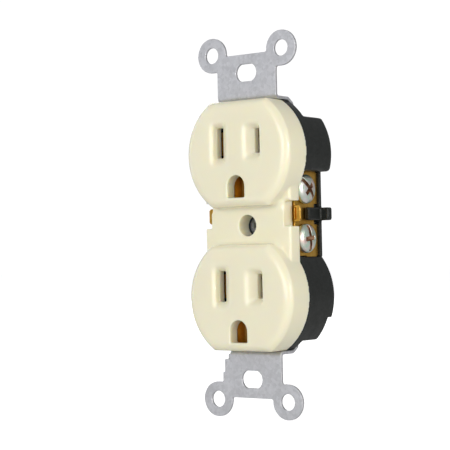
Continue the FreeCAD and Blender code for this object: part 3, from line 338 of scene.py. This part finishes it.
# %% Helpers for pieces
def settle(piece, *modifiers):
    """Applies a list of (type, settings) modifiers and keeps the result as the mesh."""
    for kind, settings in modifiers:
        modifier = piece.modifiers.new(kind.lower(), kind)
        for name, value in settings.items():
            setattr(modifier, name, value)
    graph = bpy.context.evaluated_depsgraph_get()
    result = bpy.data.meshes.new_from_object(piece.evaluated_get(graph))
    piece.modifiers.clear()
    piece.data = result
    return piece


def dress(piece, *materials):
    """Gives a piece its materials and keeps which face has which."""
    faces = piece.data.polygons
    which = np.zeros(len(faces), np.int32)
    faces.foreach_get("material_index", which)
    piece.data.materials.clear()
    for material in materials:
        piece.data.materials.append(material)
    faces.foreach_set("material_index", np.minimum(which, len(materials) - 1))


def new_piece(name, mesh, node, slot, *materials):
    """A mesh object that stands for a CAD node and rides on that node's body."""
    piece = bpy.data.objects.new(name, mesh)
    bpy.context.scene.collection.objects.link(piece)
    dress(piece, *materials)
    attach(piece, frame["nodes"][node]["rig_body"])
    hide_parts(node)
    return piece


# %% [markdown]
# ## Soft edges
# CAD edges are perfectly sharp, and no mould or press makes such an edge. A bevel could
# round them, but it fails where many small faces meet, as round a slot. So a copy of the
# part's mesh is rebuilt from small equal voxels, and a few smoothing passes round every
# edge by about a voxel. Flat faces stay flat. A last decimation takes away points that
# the flats don't need, and the result is held inside the part's own box.

# %% Helpers for soft edges
def places_of(mesh):
    """The mesh's points as rows of x, y and z."""
    places = np.empty(len(mesh.vertices) * 3)
    mesh.vertices.foreach_get("co", places)
    return places.reshape(-1, 3)


def soften(piece, voxel, passes, keep, low=None, high=None, softer=None, more_passes=0):
    """Rounds every edge by about a voxel, inside the box from low to high. Where the
    test called softer holds, the edges get more passes."""
    settle(piece, ("REMESH", {"mode": "VOXEL", "voxel_size": voxel}),
           ("SMOOTH", {"factor": 0.5, "iterations": passes}))
    if softer is not None:
        group = piece.vertex_groups.new(name="softer")
        picked = np.nonzero(softer(*(places_of(piece.data) / MM).T))[0]
        group.add([int(i) for i in picked], 1.0, "REPLACE")
        settle(piece, ("SMOOTH", {"factor": 0.5, "iterations": more_passes,
                                  "vertex_group": "softer"}))
        piece.vertex_groups.clear()
    if keep < 1:
        settle(piece, ("DECIMATE", {"ratio": keep}))
    mesh = piece.data
    if low is not None:
        inside = np.clip(places_of(mesh), list(low), list(high))
        mesh.vertices.foreach_set("co", inside.ravel())
    mesh.shade_smooth()
    print(piece.name, "has", len(mesh.polygons), "faces")
    return piece


def soft_part(node, name, slot, material, voxel, passes, keep, **more):
    """A softened copy of a CAD node's mesh."""
    mesh = frame["nodes"][node].data.copy()
    shape = bmesh.new()
    shape.from_mesh(mesh)
    bmesh.ops.remove_doubles(shape, verts=shape.verts, dist=1e-7)
    shape.to_mesh(mesh)
    shape.free()
    piece = new_piece(name, mesh, node, slot, material)
    soften(piece, voxel, passes, keep, *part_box(node), **more)
    dress(piece, material)
    return piece


# %% [markdown]
# ## The moulded face
# The face cover is one moulding with two rounded faces, a bridge, and a lead-in round
# each slot that guides a plug's blade. Its edges are the softest of all the parts, and
# the lead-ins and the corners along the bridge are softer still, so those get more
# smoothing passes. The rims of the slots and of the ground holes stay crisp.

# %% Mould the face
OUTLET_HEIGHTS = (19.45, -19.45)
LEAD_IN_FLOOR, FLAT_TO_MIDDLE, BRIDGE_FRONT = -4.15, 5.15, -0.8
GROUND_HOLE_DROP, GROUND_HOLE_SIDE, GROUND_HOLE_REACH = 8.8, 3.7, 3.9
CORNER_REACH, BRIDGE_SIDE, LEAD_IN_PASSES = 1.6, 14, 130


def soft_on_the_face(x, y, z):
    """Which points, in millimetres, belong to the softest edges of the face."""
    soft = y < LEAD_IN_FLOOR
    for height in OUTLET_HEIGHTS:
        from_hole = np.abs(z - (height - GROUND_HOLE_DROP))
        soft &= ~((np.abs(x) < GROUND_HOLE_SIDE) & (from_hole < GROUND_HOLE_REACH))
    corner = np.hypot(y - BRIDGE_FRONT, np.abs(z) - FLAT_TO_MIDDLE) < CORNER_REACH
    return soft | (corner & (np.abs(x) < BRIDGE_SIDE))


soft_part("face_cover", "moulded_face", "ivory_plastic", ivory_plastic, 0.20 * MM, 3, 0.5,
          softer=soft_on_the_face, more_passes=LEAD_IN_PASSES)

# %% [markdown]
# ## The base
# The black base holds the brass and carries the barrier between the screws. It is pressed
# in a plain tool, so its edges are crisper than the face's: fewer passes do that, and
# the many flats bear a stronger decimation.

# %% Mould the base
soft_part("rear_base", "moulded_base", "black_plastic", black_plastic, 0.22 * MM, 2, 0.35)

# %% [markdown]
# ## The strap
# The strap is punched and folded. A punched edge is sharp on one side and rolled over on
# the other, so it needs only a small rounding to catch the light. The sheet is thin, and
# finer voxels keep its two faces apart.

# %% Fold the strap
soft_part("mounting_strap", "punched_strap", "zinc_steel", zinc_steel, 0.13 * MM, 2, 0.35)

# %% [markdown]
# ## Brass parts
# The bus bars, blade contacts and ground contacts are thin stampings. The bus bars show
# at both sides, so they are softened. The contacts and rivets are seen only through
# the ground holes and from behind, so they keep their CAD shapes and get the finish.

# %% Stamp the brass
for side in ("hot", "neutral"):
    soft_part(f"{side}_bus", f"stamped_{side}_bus", "brass", brass, 0.13 * MM, 1, 0.4)
for node in sorted(frame["nodes"]):
    if node.endswith(("_contact", "_rivets")):
        dress(frame["nodes"][node], brass)
        print(node, "is brass")

# %% [markdown]
# ## Turned shapes
# A screw head is a turned profile. A screw modifier could spin it, but plain rings of
# points are easy to follow: each (radius, height) pair of the profile becomes one ring,
# and faces join each ring to the next.

# %% Helpers for turned shapes
def rings_to_mesh(shape, rings, closed=True):
    """Faces between rings of points, and a cap on each end."""
    made = [[shape.verts.new(point) for point in ring] for ring in rings]
    for low, high in zip(made, made[1:]):
        count = len(low)
        for i in range(count):
            j = (i + 1) % count
            shape.faces.new((low[i], low[j], high[j], high[i]))
    if closed:
        shape.faces.new(made[0][::-1])
        shape.faces.new(made[-1])


def ring(radius, height, sides, turn=0.0):
    return [(radius * math.cos(turn + 2 * math.pi * i / sides),
             radius * math.sin(turn + 2 * math.pi * i / sides), height)
            for i in range(sides)]


def turned(profile, sides=96):
    shape = bmesh.new()
    rings_to_mesh(shape, [ring(radius, height, sides) for radius, height in profile])
    return shape


# %% [markdown]
# ## Threads
# A thread is turned in the same way, with its radius rising and falling along a helix.
# A real helix catches the light as slanting lines, which plain grooves don't do. All the
# screws here have 32 threads to the inch.

# %% Helpers for threads
THREAD_PITCH = 0.79


def thread_radius(height, angle, root, crest, pitch):
    """The radius of a thread at one height and angle."""
    phase = (height / pitch - angle / (2 * math.pi)) % 1.0
    rise = 1 - abs(2 * phase - 1)
    return root + (crest - root) * min(max(rise * 1.6 - 0.25, 0), 1)


def thread_rings(start, end, root, crest, pitch=THREAD_PITCH, sides=48, steps_per_pitch=10):
    """Rings of points along a thread from start to end."""
    count = max(2, int(abs(end - start) / pitch * steps_per_pitch))
    rings = []
    for k in range(count + 1):
        height = start + (end - start) * k / count
        points = []
        for i in range(sides):
            angle = 2 * math.pi * i / sides
            radius = thread_radius(height, angle, root, crest, pitch)
            points.append((radius * math.cos(angle), radius * math.sin(angle), height))
        rings.append(points)
    return rings


# %% [markdown]
# ## Carving
# A recess is punched into a head by a tapered tool. Cutting with a boolean does the same
# thing: a bar that is narrower at its foot is taken away from the head. A head modelled
# round its recess by hand would take far longer and look no better.

# %% Helpers for carving
def mesh_of(shape, name):
    bmesh.ops.recalc_face_normals(shape, faces=shape.faces)
    mesh = bpy.data.meshes.new(name)
    shape.to_mesh(mesh)
    shape.free()
    return mesh


def tapered_bar(length, width, foot, top, taper=1.0, turn=0.0):
    """A bar used to cut a recess, narrower at its foot."""
    shape = bmesh.new()
    rings = []
    for height, scale in ((foot, taper), (top, 1.0)):
        half_long, half_wide = length / 2 * scale, width / 2 * (0.5 + 0.5 * scale)
        corners = ((-half_long, -half_wide), (half_long, -half_wide),
                   (half_long, half_wide), (-half_long, half_wide))
        rings.append([(x * math.cos(turn) - y * math.sin(turn),
                       x * math.sin(turn) + y * math.cos(turn), height)
                      for x, y in corners])
    rings_to_mesh(shape, rings)
    return shape


def carve(mesh, cutters):
    """The mesh with every cutter taken away from it."""
    work = bpy.data.objects.new("work", mesh)
    bpy.context.scene.collection.objects.link(work)
    tools = []
    for cutter in cutters:
        tool = bpy.data.objects.new("tool", mesh_of(cutter, "tool"))
        bpy.context.scene.collection.objects.link(tool)
        tools.append(tool)
        settle(work, ("BOOLEAN", {"operation": "DIFFERENCE", "object": tool,
                                  "solver": "EXACT"}))
    result = work.data
    for helper in tools + [work]:
        bpy.data.objects.remove(helper)
    return result


# %% [markdown]
# ## Terminal screws
# Each side has two binding screws with a wide pan head. The recess takes a flat blade or
# a cross driver: a slot right across the head, and a cross that tapers inwards. The head
# is carved first and softened after. A face is in the recess when it lies well below the
# uncut dome, and such faces get the duller, darker material that paints shade there.

# %% Shape a terminal screw's head
SUNK_BY, ABOVE_SEAT, INSIDE_RIM = 0.16, 0.3, 3.75

head_profile = [(1.9, 0.0), (3.7, 0.0), (3.95, 0.18), (3.95, 0.80), (3.84, 1.12), (3.5, 1.45),
                (2.9, 1.76), (2.1, 2.00), (1.2, 2.14), (0.3, 2.19)]
slot_bar = tapered_bar(length=8.6, width=1.15, foot=1.25, top=3.0)
cross_bars = [tapered_bar(length=4.9, width=1.30, foot=0.55, top=2.4, taper=0.45,
                          turn=math.pi / 2 * k) for k in range(2)]
head_mesh = carve(mesh_of(turned(head_profile), "screw_head"), [slot_bar] + cross_bars)


def dome_height(radius):
    """How high the uncut head stands at a distance from its axis."""
    points = sorted(head_profile[3:], key=lambda point: point[0])
    return float(np.interp(radius, [p[0] for p in points], [p[1] for p in points]))


head = bpy.data.objects.new("head", head_mesh)
bpy.context.scene.collection.objects.link(head)
soften(head, 0.07, 3, 0.5)
head_shape = bmesh.new()
head_shape.from_mesh(head.data)
# Faces sunk in the recess get the second material, the painted shade.
for face in head_shape.faces:
    middle = face.calc_center_median()
    radius = math.hypot(middle.x, middle.y)
    sunk = dome_height(radius) - middle.z > SUNK_BY
    face.material_index = int(sunk and middle.z > ABOVE_SEAT and radius < INSIDE_RIM)
bpy.data.objects.remove(head)
print("faces in the recess:", sum(face.material_index for face in head_shape.faces))

# %% [markdown]
# ## Setting the screws
# One head and one thread serve all four screws. Each copy is turned to its own angle,
# since no two screws stop alike, and its head is set where the CAD head sits. A slot's
# angle is free, so it is part of the looks and not of the CAD.

# %% Set the four terminal screws
SHANK_RADIUS, THREAD_ROOT, POINT_RADIUS, SHANK_LENGTH = 2.0, 1.62, 1.2, 6.4
POINT_LENGTH, THREAD_OVERLAP = 0.3, 0.1

thread_shape = bmesh.new()
rings_to_mesh(thread_shape, [ring(POINT_RADIUS, -SHANK_LENGTH, 48)]
              + thread_rings(-SHANK_LENGTH + POINT_LENGTH, THREAD_OVERLAP, THREAD_ROOT,
                             SHANK_RADIUS))
thread_mesh = mesh_of(thread_shape, "thread")
thread_mesh.shade_smooth()
head_shape.from_mesh(thread_mesh)
screw_mesh = bpy.data.meshes.new("terminal_screw")
head_shape.to_mesh(screw_mesh)
head_shape.free()


def place_screw(node, mesh, angle, name, slot, *materials):
    """A copy of a screw whose head's underside sits where the CAD head's does."""
    low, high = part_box(node)
    sign = 1 if (low.x + high.x) > 0 else -1
    head_top = high.x if sign > 0 else low.x
    depth = max(vertex.co.z for vertex in mesh.vertices) * MM
    axis = Vector((sign, 0, 0))
    across = Vector((0, math.cos(angle), math.sin(angle)))
    turn = Matrix((across, axis.cross(across), axis)).transposed().to_4x4()
    seat = Vector((head_top - sign * depth, (low.y + high.y) / 2, (low.z + high.z) / 2))
    own = mesh.copy()
    own.transform(Matrix.Translation(seat) @ turn @ Matrix.Scale(MM, 4))
    return new_piece(name, own, node, slot, *materials)


SLOT_ANGLES = {"upper_hot": 135, "lower_hot": 97, "upper_neutral": 28, "lower_neutral": 71}
for label, degrees in SLOT_ANGLES.items():
    place_screw(f"{label}_screw", screw_mesh, math.radians(degrees),
                f"{label}_binding_screw", "nickel_screw", plated_screw, recess_painted_shade)
print("terminal screw has", len(screw_mesh.polygons), "faces")

# %% [markdown]
# ## Ground screw
# The ground screw has a hexagon head on a round flange, so that a nut driver fits it as
# well as a flat blade. The flange and the hexagon overlap, and a voxel remesh joins them
# into one skin before the slot is cut. A boolean union would do it too, but the remesh
# also evens out the faces for the softening that follows.

# %% Shape the ground screw
GROUND_VOXEL, GROUND_SLOT_ANGLE = 0.08, math.radians(40)
GROUND_LENGTH, GROUND_SHANK, GROUND_ROOT, GROUND_POINT = 6.0, 1.75, 1.4, 1.0

flange = turned([(1.6, 0.0), (2.95, 0.0), (3.1, 0.15), (3.1, 0.5), (2.85, 0.78), (1.0, 0.8)])
rings_to_mesh(flange, [ring(2.5, 0.4, 6), ring(2.5, 2.05, 6), ring(2.15, 2.4, 6)])
hexagon = bpy.data.objects.new("hexagon", mesh_of(flange, "hex_head"))
bpy.context.scene.collection.objects.link(hexagon)
settle(hexagon, ("REMESH", {"mode": "VOXEL", "voxel_size": GROUND_VOXEL}))
hexagon.data = carve(hexagon.data, [tapered_bar(length=7, width=1.0, foot=1.2, top=3)])
soften(hexagon, GROUND_VOXEL, 2, 0.5)
ground_shape = bmesh.new()
ground_shape.from_mesh(hexagon.data)
bpy.data.objects.remove(hexagon)
rings_to_mesh(ground_shape, [ring(GROUND_POINT, -GROUND_LENGTH, 48)]
              + thread_rings(-GROUND_LENGTH + POINT_LENGTH, THREAD_OVERLAP, GROUND_ROOT,
                             GROUND_SHANK))
ground_mesh = mesh_of(ground_shape, "ground_screw")
ground_mesh.shade_smooth()
place_screw("ground_screw", ground_mesh, GROUND_SLOT_ANGLE, "green_ground_screw",
            "green_screw", green_screw)
print("ground screw has", len(ground_mesh.polygons), "faces")

# %% [markdown]
# ## Centre eyelet
# The wall plate's screw goes into a threaded tube behind the middle of the face, and the
# thread shows as bright lines in the dark hole. A bump would look flat at this grazing
# angle, so the bore is a real thread. Its rings follow the outside down and the thread
# back up, and the last ring closes on the first.

# %% Thread the centre eyelet
BORE_CREST, BORE_ROOT, BORE_SETBACK, BORE_SIDES = 1.46, 1.75, 0.02, 64
TURN_TO_DEPTH = Matrix(((1, 0, 0, 0), (0, 0, 1, 0), (0, -1, 0, 0), (0, 0, 0, 1)))

eyelet_low, eyelet_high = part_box("centre_eyelet")
front_y, rear_y = eyelet_low.y / MM, eyelet_high.y / MM
outer_profile = [(1.80, front_y), (2.45, front_y), (2.60, front_y + 0.15), (2.60, 8.5),
                 (3.00, 8.5), (3.05, 8.6), (3.05, 9.05), (2.95, 9.1), (2.34, 9.1),
                 (2.34, rear_y - 0.1), (2.24, rear_y), (1.80, rear_y)]
eyelet_rings = [ring(radius, height, BORE_SIDES) for radius, height in outer_profile]
eyelet_rings += thread_rings(rear_y - BORE_SETBACK, front_y + BORE_SETBACK, BORE_CREST,
                             BORE_ROOT, sides=BORE_SIDES)
eyelet_rings.append(eyelet_rings[0])
eyelet_shape = bmesh.new()
rings_to_mesh(eyelet_shape, eyelet_rings, closed=False)
bmesh.ops.remove_doubles(eyelet_shape, verts=eyelet_shape.verts, dist=1e-5)
eyelet_mesh = mesh_of(eyelet_shape, "eyelet")
eyelet_mesh.transform(Matrix.Scale(MM, 4) @ TURN_TO_DEPTH)
new_piece("threaded_eyelet", eyelet_mesh, "centre_eyelet", "zinc_steel", dark_steel)
print("eyelet has", len(eyelet_mesh.polygons), "faces")

# %% [markdown]
# ## Assembly screws
# Two screws from behind clamp the strap, the base and the face together. Only their
# heads show, and only from behind, so their CAD shapes do and they just get the finish.

# %% Finish the assembly screws
dress(frame["nodes"]["assembly_screws"], dark_steel)
print("assembly screws are", dark_steel.name)

# %% [markdown]
# ## Floor
# The set is a plain white floor that meets a white surround, as a sheet of paper does in
# a small studio. It could be lit until it turned white, but that would wash out the
# ivory. So it gives off a little light that only the camera sees.

# %% Make the floor
FLOOR_Z, FLOOR_RADIUS, FLOOR_HOLE = cad_box[0].z - 0.5 * MM, 6.0, 0.5 * MM
FLOOR_GLOW = 0.75

floor_shape = bmesh.new()
rings_to_mesh(floor_shape, [ring(FLOOR_HOLE, FLOOR_Z, 64), ring(FLOOR_RADIUS, FLOOR_Z, 64)],
              closed=False)
floor = bpy.data.objects.new("floor", mesh_of(floor_shape, "floor"))
bpy.context.scene.collection.objects.link(floor)
white_floor, tree, shader, place = start_material("white_floor", Roughness=0.9)
tree.links.new(tinted(tree, noise(tree, place, 3), [(0.3, (0.86, 0.86, 0.86)),
                                                   (0.7, (0.89, 0.89, 0.89))]),
               shader.inputs["Base Color"])
shader.inputs["Emission Color"].default_value = (1, 1, 1, 1)
seen = add_node(tree, "ShaderNodeLightPath").outputs["Is Camera Ray"]
tree.links.new(between(tree, seen, 0.0, FLOOR_GLOW, 0, 1),
               shader.inputs["Emission Strength"])
floor.data.materials.append(white_floor)
print("floor at", round(FLOOR_Z / MM, 2), "mm")

# %% [markdown]
# ## Lights
# A tall narrow light stands on the right, where the rounded edges of the face catch it
# as long highlights. Beside it a broad, slightly warm one lifts the shaded side, and
# another fills the front. The left and rear lights are weaker and keep the other views
# readable. One big light would be simpler, but its reflections would be wide and dull.

# %% Set the lights
def soft_light(name, azimuth, elevation, distance, width, height, power, tint=(1, 1, 1)):
    """An area light on a sphere round the object, aimed at its middle."""
    data = bpy.data.lights.new(name, "AREA")
    data.shape = "RECTANGLE"
    data.size, data.size_y, data.energy = width, height, power
    data.color = tint
    lamp = bpy.data.objects.new(name, data)
    bpy.context.scene.collection.objects.link(lamp)
    round_by, up_by = math.radians(azimuth), math.radians(elevation)
    away = Vector((math.sin(round_by) * math.cos(up_by),
                   -math.cos(round_by) * math.cos(up_by), math.sin(up_by)))
    lamp.location = away * distance
    lamp.rotation_mode = "QUATERNION"
    lamp.rotation_quaternion = (-away).to_track_quat("-Z", "Y")
    print(name, "gives", power, "W")


WARM = (1.0, 0.93, 0.76)
soft_light("right_strip", 84, -3, 0.9, 0.045, 0.75, 3.0)
soft_light("right_fill", 70, 5, 1.2, 0.5, 0.8, 4.4, WARM)
soft_light("front_fill", 12, 6, 1.1, 0.9, 0.8, 7.6)
soft_light("left_fill", -70, 15, 1.2, 0.6, 0.8, 2.0)
soft_light("rear_fill", 220, 25, 1.2, 0.8, 0.6, 3.0)

# %% [markdown]
# ## Surround
# The room's light comes from all around, dim and a little cool, and it fills the slots
# and the underside. The camera should see clean white paper instead, so a light path
# node swaps in a brighter background for what the camera sees directly.

# %% Set the surround
SURROUND_STRENGTH, PAPER_STRENGTH = 0.30, 1.05

world = bpy.data.worlds.new("studio")
bpy.context.scene.world = world
world.use_nodes = True
tree = world.node_tree
surround = tree.nodes["Background"]
surround.inputs["Color"].default_value = (0.97, 0.98, 1.0, 1)
surround.inputs["Strength"].default_value = SURROUND_STRENGTH
paper = add_node(tree, "ShaderNodeBackground", [("Strength", PAPER_STRENGTH)])
seen = add_node(tree, "ShaderNodeLightPath").outputs["Is Camera Ray"]
both = add_node(tree, "ShaderNodeMixShader", [(0, seen), (1, surround.outputs[0]),
                                              (2, paper.outputs[0])])
paper.inputs["Color"].default_value = (1, 1, 1, 1)
tree.links.new(both.outputs[0], tree.nodes["World Output"].inputs["Surface"])
print("surround has", len(tree.nodes), "nodes")
